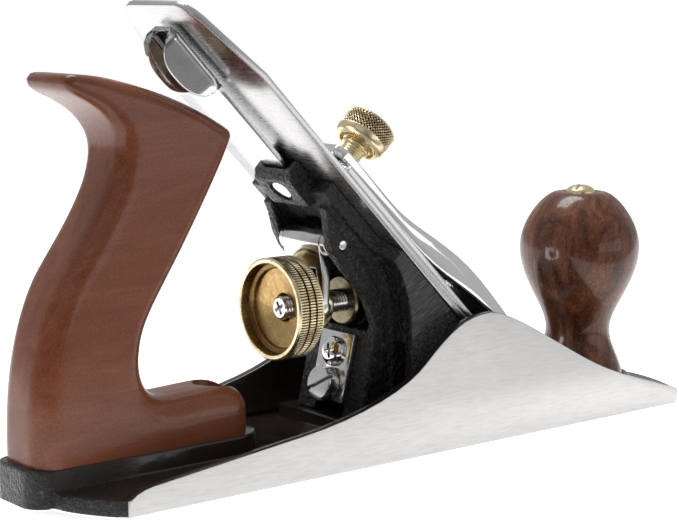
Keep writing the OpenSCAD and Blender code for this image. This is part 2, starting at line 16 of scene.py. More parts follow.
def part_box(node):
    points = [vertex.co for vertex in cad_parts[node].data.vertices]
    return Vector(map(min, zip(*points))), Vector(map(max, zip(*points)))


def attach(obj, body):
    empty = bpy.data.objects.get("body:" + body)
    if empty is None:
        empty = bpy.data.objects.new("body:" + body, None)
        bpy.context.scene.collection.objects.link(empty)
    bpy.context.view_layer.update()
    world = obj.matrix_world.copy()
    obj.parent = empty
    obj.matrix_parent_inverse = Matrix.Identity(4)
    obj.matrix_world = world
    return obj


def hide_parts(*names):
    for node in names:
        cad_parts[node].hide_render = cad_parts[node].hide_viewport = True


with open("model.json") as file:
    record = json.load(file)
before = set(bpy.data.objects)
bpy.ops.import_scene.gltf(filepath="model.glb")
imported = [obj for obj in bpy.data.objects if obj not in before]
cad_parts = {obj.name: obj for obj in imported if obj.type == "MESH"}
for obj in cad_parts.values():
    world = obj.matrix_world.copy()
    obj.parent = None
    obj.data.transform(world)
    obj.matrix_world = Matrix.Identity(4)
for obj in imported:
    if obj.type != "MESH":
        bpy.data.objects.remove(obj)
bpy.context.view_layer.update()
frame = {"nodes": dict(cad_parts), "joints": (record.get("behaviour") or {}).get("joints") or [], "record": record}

MM = 0.001
TO_METRES = Matrix.Scale(MM, 4)
BODY_OF = {n: body for body, nodes in frame["record"]["behaviour"]["bodies"].items() for n in nodes}
JOINT_AT = {j["name"]: [c / MM for c in j["pos_m"]] for j in frame["joints"] if "pos_m" in j}


def box_mm(node):
    """Lowest and highest corner of a CAD node, in millimetres."""
    low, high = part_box(node)
    return low / MM, high / MM


# ---- Driving dimensions, in mm ----
BED_X = 57.2  # where the plane of the bed meets the sole
BED_ANGLE = radians(45)
HEEL_X = -96  # where the rough cast heel begins
CLIP_TOP_X, CLIP_TOP_Z = -9.5, 34.5
CLIP_LEAN = radians(13)
CLIP_SCREW_DOWN, ADJUSTING_SCREW_DOWN = 6.2, 16.6  # from the clip's top, along its face
ROD_FOOT_X = -106
ROD_LEAN = radians(19)
THUMB_S = 107  # how far up the bed the thumb screw stands

# What the CAD frame says
STUD_LOW, STUD_HIGH = box_mm("adjusting_stud")
WHEEL_LOW, WHEEL_HIGH = box_mm("depth_wheel")
THUMB_LOW, THUMB_HIGH = box_mm("thumb_screw")
TOTE_LOW, TOTE_HIGH = box_mm("tote")
KNOB_LOW, KNOB_HIGH = box_mm("knob")
AXIS_Z = (STUD_LOW.z + STUD_HIGH.z) / 2
WHEEL_R = (WHEEL_HIGH.z - WHEEL_LOW.z) / 2
THUMB_R = (THUMB_HIGH.y - THUMB_LOW.y) / 2
SOLE_HALF = box_mm("body_casting")[1].y
KNOB_X = (KNOB_LOW.x + KNOB_HIGH.x) / 2
TOE_SCREW_X = sum(c.x for c in box_mm("tote_toe_screw")) / 2

# Shading stays sharp at edges that turn by more than these angles, in degrees
SHARP_TURNED, SHARP_CARVED, SHARP_WOOD, SHARP_FOLD = 40, 35, 50, 60
SAME_POINT = 2e-6  # corners closer than this, in metres, are one
BAR_CLEAR = 0.4  # how far a cutter stands out of the head that it cuts, in mm


# ---- Drawing frames ----
def bed_frame(s=0, v=0):
    """X runs down the bed, Z stands square on it, at a place s up the bed and v over it."""
    return (Matrix.Translation((BED_X, 0, 0)) @ Matrix.Rotation(BED_ANGLE, 4, "Y")
            @ Matrix.Translation((-s, 0, v)))


def stud_frame(x=0):
    """Z points forward along the depth wheel's axis."""
    return Matrix.Translation((x, 0, AXIS_Z)) @ Matrix.Rotation(pi / 2, 4, "Y")


def clip_frame(down=0):
    """Z points forward, square on the frog's clip, at a place down its face."""
    return (Matrix.Translation((CLIP_TOP_X, 0, CLIP_TOP_Z)) @ Matrix.Rotation(CLIP_LEAN, 4, "Y")
            @ Matrix.Translation((0, 0, -down)) @ Matrix.Rotation(pi / 2, 4, "Y"))


def rod_frame():
    """Z points up along the rear handle's rod, from its foot."""
    foot = (ROD_FOOT_X, 0, TOTE_LOW.z)
    return Matrix.Translation(foot) @ Matrix.Rotation(ROD_LEAN, 4, "Y")


def turned_over(place):
    """The same place with its Z axis the other way."""
    return place @ Matrix.Rotation(pi, 4, "X")


# ---- Mesh tools ----
def curve(p0, p1, p2, p3, n=8):
    """Points of a cubic curve from p0 to p3, without p0."""
    points = []
    for i in range(1, n + 1):
        t = i / n
        u = 1 - t
        weights = (u ** 3, 3 * u * u * t, 3 * u * t * t, t ** 3)
        points.append(tuple(sum(w * p[k] for w, p in zip(weights, (p0, p1, p2, p3)))
                            for k in range(len(p0))))
    return points


def smooth_step(x):
    """Rises from 0 to 1 between x = 0 and x = 1, with a soft start and end."""
    x = min(max(x, 0), 1)
    return x * x * (3 - 2 * x)


def lathe(profile, turns=96, ripple=None, closed=False):
    """Turns (radius, height) points round the Z axis. ripple(row, angle) moves a point out or in."""
    bm = bmesh.new()
    rows = []
    for k, (r, z) in enumerate(profile):
        if r == 0:
            rows.append([bm.verts.new((0, 0, z))] * turns)
            continue
        ring = []
        for i in range(turns):
            a = 2 * pi * i / turns
            radius = r + (ripple(k, a) if ripple else 0)
            ring.append(bm.verts.new((radius * cos(a), radius * sin(a), z)))
        rows.append(ring)
    for a, b in zip(rows, rows[1:] + (rows[:1] if closed else [])):
        for i in range(turns):
            j = (i + 1) % turns
            corners = list(dict.fromkeys((a[i], a[j], b[j], b[i])))
            if len(corners) > 2:
                bm.faces.new(corners)
    return bm


def rounded(profile, radius, n=3):
    """A profile of (radius, height) points with its inner corners rounded."""
    result = [profile[0]]
    for before, corner, after in zip(profile, profile[1:], profile[2:]):
        before, corner, after = Vector(before), Vector(corner), Vector(after)
        to_before, to_after = before - corner, after - corner
        cut = min(radius, 0.45 * to_before.length, 0.45 * to_after.length)
        start = corner + to_before.normalized() * cut
        end = corner + to_after.normalized() * cut
        bend = curve(start, start.lerp(corner, 0.6), end.lerp(corner, 0.6), end, n)
        result += [tuple(start)] + [tuple(p) for p in bend]
    return result + [profile[-1]]


def threaded_rows(radius, start, end, pitch, samples=8):
    """Rows of a thread: the profile points, and each row's phase in turns."""
    count = int((end - start) / pitch * samples)
    heights = [start + (end - start) * i / count for i in range(count + 1)]
    return [(radius, z) for z in heights], [z / pitch for z in heights]


def thread_ripple(first, phases, depth=0.45):
    """Ripple of a helical thread whose first row has this index in the profile."""
    def ripple(row, angle):
        k = row - first
        if not 0 < k < len(phases) - 1:
            return 0
        turn = (phases[k] - angle / (2 * pi)) % 1
        return -depth * max(0.0, 1 - abs(turn - 0.5) * 2.6)
    return ripple


def mesh_from(bm, name, sharp):
    """A mesh in metres, shaded smooth except at edges that turn by more than an angle."""
    bmesh.ops.recalc_face_normals(bm, faces=bm.faces)
    mesh = bpy.data.meshes.new(name)
    bm.to_mesh(mesh)
    bm.free()
    mesh.polygons.foreach_set("use_smooth", [True] * len(mesh.polygons))
    mesh.set_sharp_from_angle(angle=radians(sharp))
    return mesh


def drawn(bm, name, sharp, place=Matrix()):
    """A mesh in metres, from one drawn in mm in a drawing frame."""
    bm.transform(TO_METRES @ place)
    return mesh_from(bm, name, sharp)


def new_object(name, data):
    """A new object in the scene."""
    obj = bpy.data.objects.new(name, data)
    bpy.context.scene.collection.objects.link(obj)
    return obj


def modified(mesh, *modifiers):
    """The mesh after Blender modifiers, each given as (type, {setting: value})."""
    obj = new_object("work", mesh)
    for kind, settings in modifiers:
        modifier = obj.modifiers.new(kind, kind)
        for key, value in settings.items():
            setattr(modifier, key, value)
    graph = bpy.context.evaluated_depsgraph_get()
    result = bpy.data.meshes.new_from_object(obj.evaluated_get(graph))
    bpy.data.objects.remove(obj)
    return result


def carved(mesh, *cutters):
    """The mesh with other closed meshes cut out of it."""
    for cutter in cutters:
        tool = new_object("tool", cutter)
        settings = {"object": tool, "operation": "DIFFERENCE", "solver": "EXACT"}
        mesh = modified(mesh, ("BOOLEAN", settings))
        bpy.data.objects.remove(tool)
    return mesh


def round_cutter(profile, place):
    """A closed turned mesh, used as a tool."""
    return drawn(lathe(profile, 64), "cutter", SHARP_CARVED, place)


def cross_cutter(width, blade, depth, place, turn):
    """A tapered cross, used to cut a cross recess into a head."""
    tools = []
    for angle in (turn, turn + 90):
        bm = bmesh.new()
        rows = []
        for half, side, z in ((width / 2, blade / 2, BAR_CLEAR),
                              (width / 2 - depth * 0.55, blade / 3, -depth)):
            corners = ((-half, -side), (half, -side), (half, side), (-half, side))
            rows.append([bm.verts.new((x, y, z)) for x, y in corners])
        bm.faces.new(rows[0])
        bm.faces.new(rows[1])
        for i in range(4):
            j = (i + 1) % 4
            bm.faces.new((rows[0][i], rows[0][j], rows[1][j], rows[1][i]))
        turned = place @ Matrix.Rotation(radians(angle), 4, "Z")
        tools.append(drawn(bm, "cross", SHARP_CARVED, turned))
    return tools


def slot_cutter(length, width, depth, place, turn):
    """A bar, used to cut a driver slot into a head."""
    bm = bmesh.new()
    bmesh.ops.create_cube(bm, size=1)
    bm.transform(Matrix.Translation((0, 0, BAR_CLEAR / 2 - depth / 2))
                 @ Matrix.Diagonal((length, width, depth + BAR_CLEAR, 1)))
    return drawn(bm, "slot", SHARP_CARVED, place @ Matrix.Rotation(radians(turn), 4, "Z"))


def softened(node, width, widths=None):
    """The CAD mesh with its sharp edges rounded. widths(edge) may give an edge its own width, in mm."""
    bm = bmesh.new()
    bm.from_mesh(frame["nodes"][node].data)
    bmesh.ops.remove_doubles(bm, verts=bm.verts, dist=SAME_POINT)
    bmesh.ops.dissolve_limit(bm, angle_limit=radians(1), verts=bm.verts, edges=bm.edges)
    groups = {}
    for edge in bm.edges:
        if edge.is_manifold and edge.calc_face_angle() > radians(30):
            groups.setdefault(widths(edge) if widths else width, []).append(edge)
    for size, edges in sorted(groups.items()):
        edges = [e for e in edges if e.is_valid]
        bmesh.ops.bevel(bm, geom=edges, offset=size * MM, offset_type="OFFSET", segments=2,
                        profile=0.5, affect="EDGES", clamp_overlap=False)
    return mesh_from(bm, node, SHARP_TURNED)


def stand_in(node, mesh, *materials):
    """A finished piece in place of a CAD node."""
    piece = new_object(node + "_fine", mesh)
    for material in materials:
        mesh.materials.append(material)
    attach(piece, BODY_OF[node])
    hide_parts(node)
    return piece


def dress(node, material):
    """The CAD node as it is, with a procedural material."""
    obj = frame["nodes"][node]
    obj.data.materials.clear()
    obj.data.materials.append(material)


# ---- Materials ----
class Finish:
    """A Principled material, with short names for the nodes that the finishes share."""

    def __init__(self, name, colour=(0.5, 0.5, 0.5), **sockets):
        self.material = bpy.data.materials.new(name)
        self.material.use_nodes = True
        self.tree = self.material.node_tree
        self.shader = self.tree.nodes["Principled BSDF"]
        self.shader.inputs["Base Color"].default_value = (*colour, 1)
        for key, value in sockets.items():
            self.shader.inputs[key.replace("_", " ")].default_value = value
        self.place = self.node("ShaderNodeTexCoord").outputs["Object"]

    def node(self, kind, **values):
        made = self.tree.nodes.new(kind)
        for key, value in values.items():
            setattr(made, key, value)
        return made

    def plug(self, socket, value):
        """Links an output to a socket, or sets a plain value on it."""
        if isinstance(value, bpy.types.NodeSocket):
            self.tree.links.new(value, socket)
        else:
            socket.default_value = value

    def mapped(self, size, stretch=(1, 1, 1), turn=(0, 0, 0), origin=(0, 0, 0)):
        """Object coordinates in units of a feature size in mm, longer where stretch is larger."""
        shift = self.node("ShaderNodeVectorMath", operation="SUBTRACT")
        self.plug(shift.inputs[0], self.place)
        shift.inputs[1].default_value = [c * MM for c in origin]
        turned = self.node("ShaderNodeVectorRotate", rotation_type="EULER_XYZ")
        self.plug(turned.inputs["Vector"], shift.outputs[0])
        turned.inputs["Rotation"].default_value = turn
        scaled = self.node("ShaderNodeVectorMath", operation="MULTIPLY")
        self.plug(scaled.inputs[0], turned.outputs[0])
        scaled.inputs[1].default_value = [1 / (size * s * MM) for s in stretch]
        return scaled.outputs[0]

    def noise(self, size, detail=4, rough=0.55, distortion=0, **mapping):
        """Cloudy noise whose features are about a size in mm."""
        made = self.node("ShaderNodeTexNoise")
        self.plug(made.inputs["Vector"], self.mapped(size, **mapping))
        settings = (("Scale", 1), ("Detail", detail), ("Roughness", rough), ("Distortion", distortion))
        for key, value in settings:
            made.inputs[key].default_value = value
        return made.outputs["Fac"]

    def flecks(self, size, **mapping):
        """Distance to the nearest of many scattered points, a size in mm apart."""
        made = self.node("ShaderNodeTexVoronoi")
        self.plug(made.inputs["Vector"], self.mapped(size, **mapping))
        made.inputs["Scale"].default_value = 1
        return made.outputs["Distance"]

    def about(self, place):
        """Distance in mm from the local Z axis of a drawing frame, and height along it."""
        point = self.mapped(1, origin=place.translation)
        across = self.node("ShaderNodeVectorMath", operation="CROSS_PRODUCT")
        length = self.node("ShaderNodeVectorMath", operation="LENGTH")
        along = self.node("ShaderNodeVectorMath", operation="DOT_PRODUCT")
        for made in (across, along):
            self.plug(made.inputs[0], point)
            made.inputs[1].default_value = place.col[2].xyz
        self.plug(length.inputs[0], across.outputs[0])
        return length.outputs["Value"], along.outputs["Value"]

    def math(self, operation, a, b=0.0):
        made = self.node("ShaderNodeMath", operation=operation)
        self.plug(made.inputs[0], a)
        self.plug(made.inputs[1], b)
        return made.outputs[0]

    def both(self, a, b):
        """The product of two values. For two masks, it marks where both hold."""
        return self.math("MULTIPLY", a, b)

    def band(self, value, low, high, to_low=0.0, to_high=1.0):
        """Maps low..high of a value to another range, and holds it there beyond."""
        made = self.node("ShaderNodeMapRange", interpolation_type="SMOOTHSTEP")
        self.plug(made.inputs["Value"], value)
        numbers = (("From Min", low), ("From Max", high), ("To Min", to_low), ("To Max", to_high))
        for key, number in numbers:
            made.inputs[key].default_value = number
        return made.outputs["Result"]

    def axis(self, index):
        """One of the object coordinates, in mm."""
        parts = self.node("ShaderNodeSeparateXYZ")
        self.plug(parts.inputs[0], self.mapped(1))
        return parts.outputs[index]

    def ramp(self, value, *stops):
        """A colour ramp from (position, colour) stops."""
        made = self.node("ShaderNodeValToRGB")
        self.plug(made.inputs["Fac"], value)
        elements = made.color_ramp.elements
        while len(elements) < len(stops):
            elements.new(0.5)
        for element, (position, colour) in zip(elements, stops):
            element.position = position
            element.color = (*colour, 1)
        return made.outputs["Color"]

    def mix(self, factor, a, b, blend="MIX"):
        made = self.node("ShaderNodeMix", data_type="RGBA", blend_type=blend)
        self.plug(made.inputs["Factor"], factor)
        for socket, value in ((made.inputs[6], a), (made.inputs[7], b)):
            self.plug(socket, value if isinstance(value, bpy.types.NodeSocket) else (*value, 1))
        return made.outputs[2]

    def bump(self, *heights):
        """Adds bumps, each given as (height, depth in mm)."""
        normal = None
        for height, depth in heights:
            made = self.node("ShaderNodeBump")
            made.inputs["Strength"].default_value = 1
            made.inputs["Distance"].default_value = depth * MM
            self.plug(made.inputs["Height"], height)
            if normal:
                self.plug(made.inputs["Normal"], normal)
            normal = made.outputs["Normal"]
        for socket in ("Normal", "Coat Normal"):
            self.plug(self.shader.inputs[socket], normal)

    def set(self, socket, value):
        self.plug(self.shader.inputs[socket], value)


def enamel_finish():
    """Glossy black enamel: flows in the pan, coarse where it covers rough casting at the heel."""
    f = Finish("black_enamel", Metallic=0, Specular_IOR_Level=0.35, Coat_Weight=0.3,
               Coat_Roughness=0.08)
    deep, thin = (0.016, 0.011, 0.008), (0.036, 0.027, 0.021)
    at_heel = f.band(f.axis(0), HEEL_X + 8, HEEL_X - 4)
    grain = f.noise(0.9, 6, rough=0.7)
    flow = f.noise(9, 3)
    f.set("Base Color", f.mix(f.noise(5, 5), deep, thin))
    f.set("Roughness", f.math("ADD", f.band(flow, 0.3, 0.7, 0.10, 0.24), f.both(at_heel, 0.14)))
    f.bump((flow, 0.25), (f.noise(1.6, 4), 0.03), (f.both(at_heel, grain), 0.55))
    return f.material


def ground_finish():
    """Ground iron of the cheeks and the sole: pale grey, with fine wavy marks along the plane."""
    f = Finish("ground_iron", Metallic=0.75)
    dark, mid, light = (0.70, 0.69, 0.68), (0.77, 0.76, 0.75), (0.81, 0.80, 0.79)
    warm = (0.72, 0.705, 0.69)
    marks = f.noise(0.55, 4, rough=0.6, distortion=0.6, stretch=(11, 1, 1))
    waves = f.noise(1.5, 3, rough=0.5, distortion=1.2, stretch=(5, 1, 1))
    clouds = f.noise(40, 4)
    tone = f.ramp(marks, (0.30, dark), (0.5, mid), (0.7, light))
    f.set("Base Color", f.mix(f.band(clouds, 0.35, 0.7, 0, 0.2), tone, warm))
    f.set("Roughness", f.band(marks, 0.3, 0.7, 0.52, 0.44))
    f.bump((waves, 0.02), (marks, 0.016))
    return f.material


def casting_finish():
    """Black paint over rough casting, with pale specks painted in as glints."""
    f = Finish("rough_casting", Metallic=0, Specular_IOR_Level=0.35, Coat_Weight=0.5,
               Coat_Roughness=0.05)
    black, dark, painted_glint_grey = (0.003, 0.002, 0.002), (0.012, 0.009, 0.009), (0.20, 0.18, 0.18)
    grain = f.noise(1.1, 6, rough=0.7)
    pits = f.flecks(1.1)
    glint_specks = f.noise(1.5, 6, rough=0.75)
    # Painted highlight: the pale specks stand for glints on the rough casting, scattered at random
    f.set("Base Color", f.ramp(glint_specks, (0.46, black), (0.58, dark), (0.72, painted_glint_grey)))
    f.set("Roughness", f.band(grain, 0.35, 0.7, 0.16, 0.5))
    f.bump((f.noise(2.2, 3), 0.7), (grain, 0.75), (pits, 0.25))
    return f.material


def machined_finish():
    """Machined faces of the frog: thinly painted, with cutter marks that run across at a slant."""
    f = Finish("machined_iron", Metallic=0.35)
    dark, mid, bare = (0.015, 0.014, 0.015), (0.05, 0.048, 0.05), (0.17, 0.165, 0.17)
    marks = f.noise(0.35, 3, rough=0.6, distortion=0.3, stretch=(14, 14, 1),
                    turn=(0, radians(28), 0))
    specks = f.noise(1.4, 6, rough=0.75)
    tone = f.ramp(marks, (0.32, dark), (0.54, mid), (0.74, bare))
    f.set("Base Color", f.mix(f.band(specks, 0.60, 0.72), tone, (0.01, 0.01, 0.01)))
    f.set("Roughness", f.band(marks, 0.3, 0.7, 0.5, 0.34))
    f.bump((marks, 0.03), (specks, 0.03))
    return f.material


def wood_finish(name, dark, mid, light, grain_turn, figure, coat, coat_rough, streaks, open_pores):
    """Lacquered hardwood: broad figure, fine fibres and short open pores along the grain."""
    f = Finish(name, Metallic=0, Specular_IOR_Level=0.25, Coat_Weight=coat,
               Coat_Roughness=coat_rough)
    grain = {"turn": grain_turn}
    broad = f.noise(figure, 3, rough=0.5, distortion=1.6, stretch=(5, 1, 1.2), **grain)
    fibre = f.noise(0.7, 5, rough=0.65, distortion=0.2, stretch=(16, 1, 1), **grain)
    pores = f.flecks(1.05, stretch=(5.5, 0.9, 1), **grain)
    patches = f.noise(3.2, 4, rough=0.6, stretch=(3, 1, 1), **grain)
    tone = f.ramp(broad, (0.30, dark), (0.52, mid), (0.74, light))
    tone = f.mix(f.band(fibre, 0.42, 0.62, 0, streaks), tone, dark)
    specks = f.noise(0.55, 4, rough=0.7)
    tone = f.mix(f.band(specks, 0.5, 0.3, 0, 0.6), tone, [c * 0.6 for c in dark])
    tone = f.mix(f.band(specks, 0.54, 0.7, 0, 0.6), tone, [c * 1.5 for c in light])
    pore_mask = f.both(f.band(pores, 0.19, 0.09), f.band(patches, 0.46, 0.6))
    f.set("Base Color", f.mix(f.both(pore_mask, open_pores), tone, [c * 0.18 for c in dark]))
    f.set("Roughness", f.band(fibre, 0.35, 0.65, 0.30, 0.44))
    f.bump((fibre, 0.02), (f.math("SUBTRACT", 1.0, pore_mask), 0.12 * open_pores))
    return f.material


def brass_finish(name, stain=0.3, tint=1.0, place=None, rim=0, rim_from=0, dish=None):
    """Turned brass, brown in patches.

    With a place it also gets painted shade, near black, in the gaps of a knurled rim, of a given
    radius, from the height where the knurling starts, and painted shade over the floor of a dish
    of a given radius, darkest in its corner.
    """
    f = Finish(name, Metallic=1)
    brown, mid, pale = (0.74, 0.58, 0.32), (0.88, 0.75, 0.48), (0.96, 0.89, 0.70)
    patches = f.noise(3.4, 6, rough=0.7)
    grain = f.noise(0.45, 4, rough=0.7)
    tone = f.ramp(patches, (0.30, brown), (0.50, mid), (0.70, pale))
    tone = f.mix(f.band(grain, 0.55, 0.75, 0, stain), tone, (0.30, 0.17, 0.07))
    tone = f.mix(1.0, tone, (tint, tint, tint), "MULTIPLY")
    bumps = [(grain, 0.012)]
    if rim:
        radius, along = f.about(place)
        # Painted shade: the gaps between the knurl's teeth go near black
        gap = f.both(f.band(radius, rim - 0.14, rim - 0.38), f.band(radius, rim - 0.85, rim - 0.75))
        gap = f.both(gap, f.band(along, rim_from, rim_from + 0.1))
        tone = f.mix(gap, tone, (0.03, 0.015, 0.006))
        turning_marks = f.math("SINE", f.both(radius, 2 * pi / 0.4))
        bumps.append((turning_marks, 0.006))
        if dish:
            # Painted shade: the recessed dish is darkened, and its corner by the wall more so
            inside = f.both(f.band(radius, dish + 0.1, dish - 0.1), f.band(along, 1, 2))
            tone = f.mix(inside, tone, (0.66, 0.52, 0.34), "MULTIPLY")
            deep = f.both(f.band(radius, dish + 0.1, dish - 0.1), f.band(along, 5.3, 4.7))
            corner = f.both(deep, f.band(radius, dish - 2.0, dish - 1.4, 0, 0.8))
            tone = f.mix(corner, tone, (0.20, 0.11, 0.04))
    f.set("Base Color", tone)
    f.set("Roughness", f.band(patches, 0.35, 0.65, 0.34, 0.20))
    f.bump(*bumps)
    return f.material


def steel_finish(name, tone, rough, marks, along=(1, 1, 1), turn=(0, 0, 0), stain=0.25):
    """Plated or ground steel: fine marks in one direction and faint clouds."""
    f = Finish(name, Metallic=1)
    fine = f.noise(0.3, 3, rough=0.6, stretch=along, turn=turn)
    clouds = f.noise(6, 5, rough=0.6)
    dark = [c * 0.62 for c in tone]
    f.set("Base Color", f.mix(f.band(clouds, 0.42, 0.72, 0, stain), tone, dark))
    f.set("Roughness", f.band(fine, 0.3, 0.7, rough * 1.2, rough * 0.8))
    f.bump((fine, marks))
    return f.material


KNURL_START, DISH_R = 0.55, 13.9  # of the depth wheel: height where the knurl starts, and radius
THUMB_KNURL_LOW, THUMB_KNURL_HIGH = 25.6, 31.0

enamel = enamel_finish()
ground = ground_finish()
casting = casting_finish()
machined = machined_finish()
tote_wood = wood_finish("handle_wood", dark=(0.175, 0.046, 0.017), mid=(0.225, 0.065, 0.027),
                        light=(0.26, 0.083, 0.037), grain_turn=(0, radians(4), 0), figure=9,
                        coat=0.45, coat_rough=0.13, streaks=0.3, open_pores=0.2)
knob_wood = wood_finish("knob_wood", dark=(0.045, 0.011, 0.004), mid=(0.16, 0.048, 0.019),
                        light=(0.30, 0.110, 0.048), grain_turn=(0, radians(90), 0), figure=6,
                        coat=0.5, coat_rough=0.08, streaks=0.5, open_pores=0.85)
wheel_brass = brass_finish("wheel_brass", place=stud_frame(WHEEL_LOW.x), rim=WHEEL_R,
                           rim_from=KNURL_START, dish=DISH_R)
thumb_brass = brass_finish("thumb_brass", place=bed_frame(THUMB_S), rim=THUMB_R,
                           rim_from=THUMB_KNURL_LOW + 0.1)
brass = brass_finish("turned_brass", stain=0.25)
# Painted shade: this brass is darkened all over, for the lock nut that sits in shade behind the frog
shade_darkened_brass = brass_finish("shade_darkened_brass", stain=0.7, tint=0.28)
plate = steel_finish("bright_plate", (0.80, 0.80, 0.81), rough=0.16, marks=0.004)
blade = steel_finish("blade_steel", (0.66, 0.65, 0.65), rough=0.27, marks=0.006,
                     along=(1, 22, 1), turn=(0, -BED_ANGLE, 0), stain=0.12)
chrome = steel_finish("polished_chrome", (0.90, 0.90, 0.91), rough=0.07, marks=0.0015, stain=0.06)


# ---- Body casting ----
def body_piece():
    """Cast body: crisp ground sides and sole, soft painted edges inside."""
    crisp, soft = 0.3, 0.7
    skin, near, facing = 0.05, 0.25, 0.4
    painted, bare, cast = 0, 1, 2

    def widths(edge):
        ends = [v.co / MM for v in edge.verts]
        outer = all(abs(c.y) > SOLE_HALF - skin or c.z < skin for c in ends)
        return crisp if outer else soft

    mesh = softened("body_casting", soft, widths)
    for face in mesh.polygons:
        centre, normal = face.center / MM, face.normal
        on_side = abs(centre.y) > SOLE_HALF - near and abs(normal.y) > facing
        on_sole = centre.z < near and normal.z < -facing
        if on_side or on_sole:
            face.material_index = bare
        elif centre.x < HEEL_X and abs(normal.z) < 0.5:
            face.material_index = cast
        else:
            face.material_index = painted
    stand_in("body_casting", mesh, enamel, ground, casting)


# ---- Rear handle ----
def side_loop(node):
    """Outline in (x, z), in mm, of a CAD node's flat face on the low Y side."""
    mesh = frame["nodes"][node].data
    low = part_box(node)[0].y
    edges = {}
    for face in mesh.polygons:
        corners = [mesh.vertices[i].co for i in face.vertices]
        if all(abs(c.y - low) < SAME_POINT / 2 for c in corners):
            points = [(round(c.x / MM, 3), round(c.z / MM, 3)) for c in corners]
            for a, b in zip(points, points[1:] + points[:1]):
                edges[a, b] = True
    following = {a: b for a, b in edges if (b, a) not in edges}
    loop = [min(following)]
    while following[loop[-1]] != loop[0]:
        loop.append(following[loop[-1]])
    return [Vector(p) for p in loop]


def smooth_loop(points, step):
    """A closed outline redrawn as smooth curves between its sharp corners, at an even step."""
    corner, long_line = 60, 30
    n = len(points)
    result = []
    for i in range(n):
        p0, p1, p2, p3 = (points[(i + k - 1) % n] for k in range(4))
        chord = (p2 - p1).length
        slopes = []
        for before, after, beside in ((p1 - p0, p2 - p1, p1 - p0), (p2 - p1, p3 - p2, p3 - p2)):
            slope = (p2 - p1) / chord
            if degrees(before.angle(after)) <= corner:
                slope = (slope + beside.normalized()) / 2
            slopes.append(slope.normalized() * chord / 3)
        count = max(1, round(chord / step))
        result.append(p1)
        if chord < long_line:
            result += [Vector(p) for p in curve(p1, p1 + slopes[0], p2 - slopes[1], p2, count)[:-1]]
        else:
            result += [p1.lerp(p2, k / count) for k in range(1, count)]
    return result


def distances(points, loop, skip_below=None):
    """Distance from each point to the nearest of the loop's edges, and that edge's number.

    Edges that lie below a height, such as the flat foot, may be left out.
    """
    a = np.array(loop)
    b = np.roll(a, -1, 0)
    keep = np.arange(len(a))
    if skip_below is not None:
        keep = np.nonzero((a[:, 1] > skip_below) | (b[:, 1] > skip_below))[0]
    a, b = a[keep], b[keep]
    p = np.array(points)[:, None, :]
    along = b - a
    t = np.clip(((p - a) * along).sum(2) / (along * along).sum(1), 0, 1)
    gap = np.linalg.norm(p - (a + t[..., None] * along), axis=2)
    return gap.min(1), keep[gap.argmin(1)]


def points_inside(points, loop):
    """The points that lie inside a closed loop."""
    a = np.array(loop)
    b = np.roll(a, -1, 0)
    inside = []
    for p in points:
        crosses = (a[:, 1] > p.y) != (b[:, 1] > p.y)
        rise = np.where(crosses, b[:, 1] - a[:, 1], 1)
        at = a[:, 0] + (p.y - a[:, 1]) / rise * (b[:, 0] - a[:, 0])
        if (crosses & (at > p.x)).sum() % 2:
            inside.append(p)
    return inside


def handle_radius(loop):
    """How far the edge rounding reaches into the side face, for each point of the outline."""
    horn, toe, front, top, back = 2.2, 7.5, 4.0, 4.5, 7.0
    radius = []
    for x, z in loop:
        if x < -100 and z > 104:
            value = horn
        elif z < 32 and x > -86:
            value = toe
        elif x > -90 and z < 98:
            value = front
        elif z > 95:
            value = top
        else:
            value = back
        radius.append(value)
    window = 21
    n = len(loop)
    return np.convolve(np.array(radius * 3), np.ones(window) / window, "same")[n:2 * n]


def handle_points(loop):
    """Points to build the side face on: the outline, rings inside it, and a grid in the middle."""
    n = len(loop)
    insets = (0.12, 0.4, 0.8, 1.3, 2.0, 2.9, 3.9, 5.0, 6.2, 7.5)
    middle_from, grid_step = 8.2, 2.2
    points = list(loop)
    for inset in insets:
        ring = []
        for i in range(n):
            along = (loop[(i + 1) % n] - loop[i - 1]).normalized()
            ring.append(loop[i] + Vector((-along.y, along.x)) * inset)
        gap, _ = distances(ring, loop)
        points += [p for p, g in zip(ring, gap) if g > 0.97 * inset]
    xs = np.arange(TOTE_LOW.x + 1, TOTE_HIGH.x, grid_step)
    zs = np.arange(TOTE_LOW.z + 1.3, TOTE_HIGH.z, grid_step)
    grid = points_inside([Vector((x, z)) for x in xs for z in zs], loop)
    gap, _ = distances(grid, loop)
    return points + [p for p, g in zip(grid, gap) if g > middle_from]


def handle_piece():
    """Rear handle: flat cheeks that roll over to the back, the front and the toe."""
    half = TOTE_HIGH.y
    loop = smooth_loop(side_loop("tote"), 0.8)
    if sum(a.cross(b) for a, b in zip(loop, loop[1:] + loop[:1])) < 0:
        loop.reverse()
    reach = handle_radius(loop)
    outline = [list(range(len(loop)))]
    verts, _, faces, *_ = delaunay_2d_cdt(handle_points(loop), [], outline, 1, 1e-4)
    gap, nearest = distances(verts, loop, TOTE_LOW.z + 0.01)
    bm = bmesh.new()
    sides = {-1: [], 1: []}
    for p, d, k in zip(verts, gap, nearest):
        r = reach[k]
        inner = max(r - d, 0)
        y = half - r + sqrt(max(r * r - inner * inner, 0))
        for side in sides:
            sides[side].append(bm.verts.new((p.x, side * y, p.y)))
    for face in faces:
        for side in sides:
            bm.faces.new([sides[side][i] for i in face])
    rim = [min(range(len(verts)), key=lambda i: (verts[i] - p).length_squared) for p in loop]
    for i, j in zip(rim, rim[1:] + rim[:1]):
        if i != j:
            bm.faces.new((sides[-1][i], sides[-1][j], sides[1][j], sides[1][i]))
    mesh = carved(drawn(bm, "tote", SHARP_WOOD), *handle_hole_cutters())
    mesh.set_sharp_from_angle(angle=radians(SHARP_WOOD))
    stand_in("tote", mesh, tote_wood)


